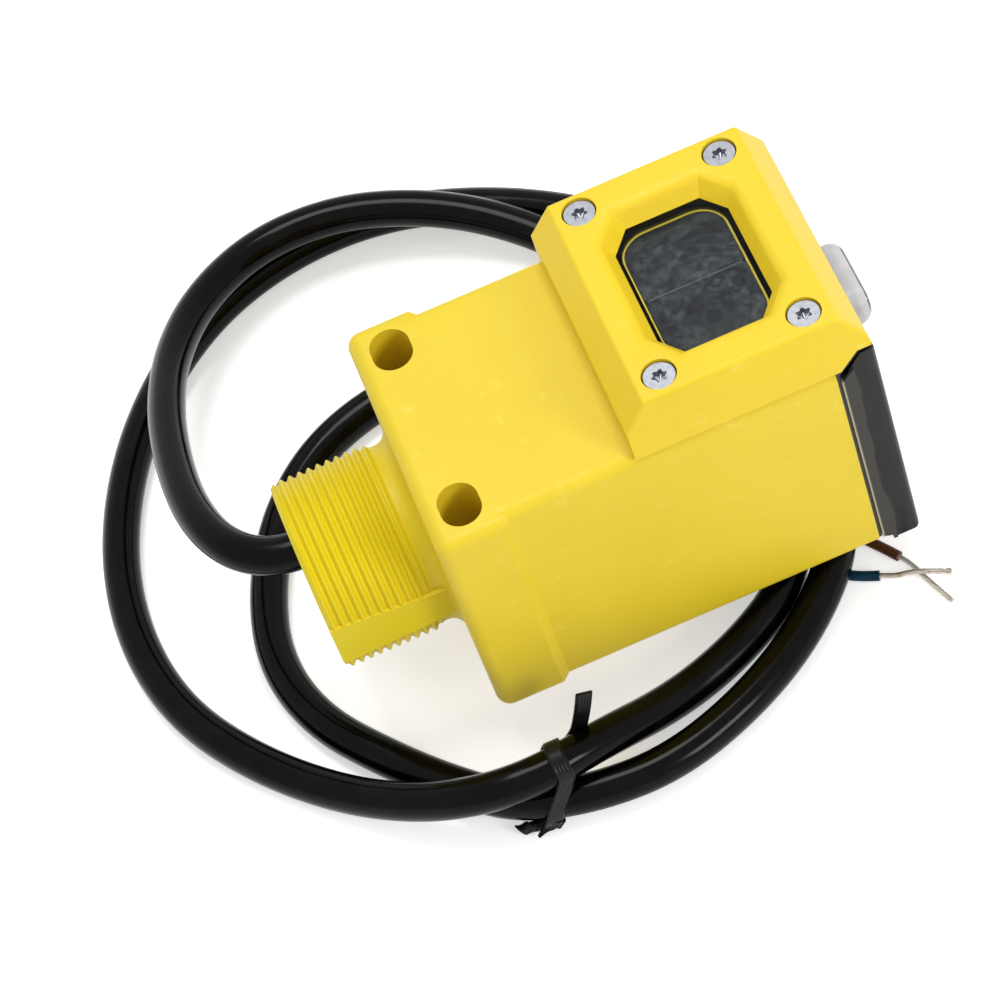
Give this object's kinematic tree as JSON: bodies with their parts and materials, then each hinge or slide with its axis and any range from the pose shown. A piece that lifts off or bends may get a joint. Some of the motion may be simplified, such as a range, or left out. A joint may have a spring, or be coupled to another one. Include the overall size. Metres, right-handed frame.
{
  "type": "infrared emitter",
  "caption": "Rectangular infrared emitter with a threaded barrel, clamped lens window, hinged smoked top cover, two mounting slots and a tied coil of two-wire cable.",
  "frame": {"origin": "on the barrel's axis, at the housing's end face where the barrel leaves it", "axes": "+X along the barrel's axis away from the barrel, through the housing to its top cover; +Y across the housing; +Z out of the lens"},
  "size_m": [0.1245, 0.1313, 0.0625],
  "materials": {
    "yellow_housing": "satin, reinforced polyester",
    "yellow_bezel": "satin, reinforced polyester",
    "smoked_cover": "smoked transparent acrylic",
    "clear_window": "clear acrylic",
    "dark_lens": "dark infrared-passing acrylic",
    "black_rubber": "moulded seal",
    "black_carrier": "matt black",
    "control_face": "matt black",
    "lamp_clear": "clear epoxy",
    "lamp_green": "tinted epoxy",
    "board_green": "solder resist",
    "zinc_screw": "zinc plated",
    "steel_pin": "stainless",
    "tinned_post": "tinned",
    "potting_black": "cast epoxy",
    "jacket_black": "glossy jacket",
    "insulation_blue": "glossy insulation",
    "insulation_brown": "glossy insulation",
    "tinned_copper": "tinned copper strands",
    "tie_black": "ribbed"
  },
  "bodies": {
    "base": {"housing": "yellow_housing", "lens_bezel": "yellow_bezel", "bezel_screws": "zinc_screw", "window": "clear_window", "window_seal": "black_rubber", "lens_block": "dark_lens", "lens_carrier": "black_carrier", "infrared_led": "lamp_clear", "indicator_led": "lamp_green", "main_board": "board_green", "terminal_posts": "tinned_post", "control_plate": "control_face", "cover_seal": "black_rubber", "hinge_pins": "steel_pin", "potting": "potting_black", "inner_cable": "jacket_black", "cable": "jacket_black", "blue_wire": "insulation_blue", "brown_wire": "insulation_brown", "blue_strands": "tinned_copper", "brown_strands": "tinned_copper", "blue_lead": "insulation_blue", "brown_lead": "insulation_brown", "cable_tie": "tie_black"},
    "cover": {"top_cover": "smoked_cover"}
  },
  "joints": [
    {"name": "cover_hinge", "type": "hinge", "parent": "base", "child": "cover", "pos_m": [0.0646, 0, -0.0195], "axis": [0, 1, 0], "range_deg": [0, 80]}
  ]
}
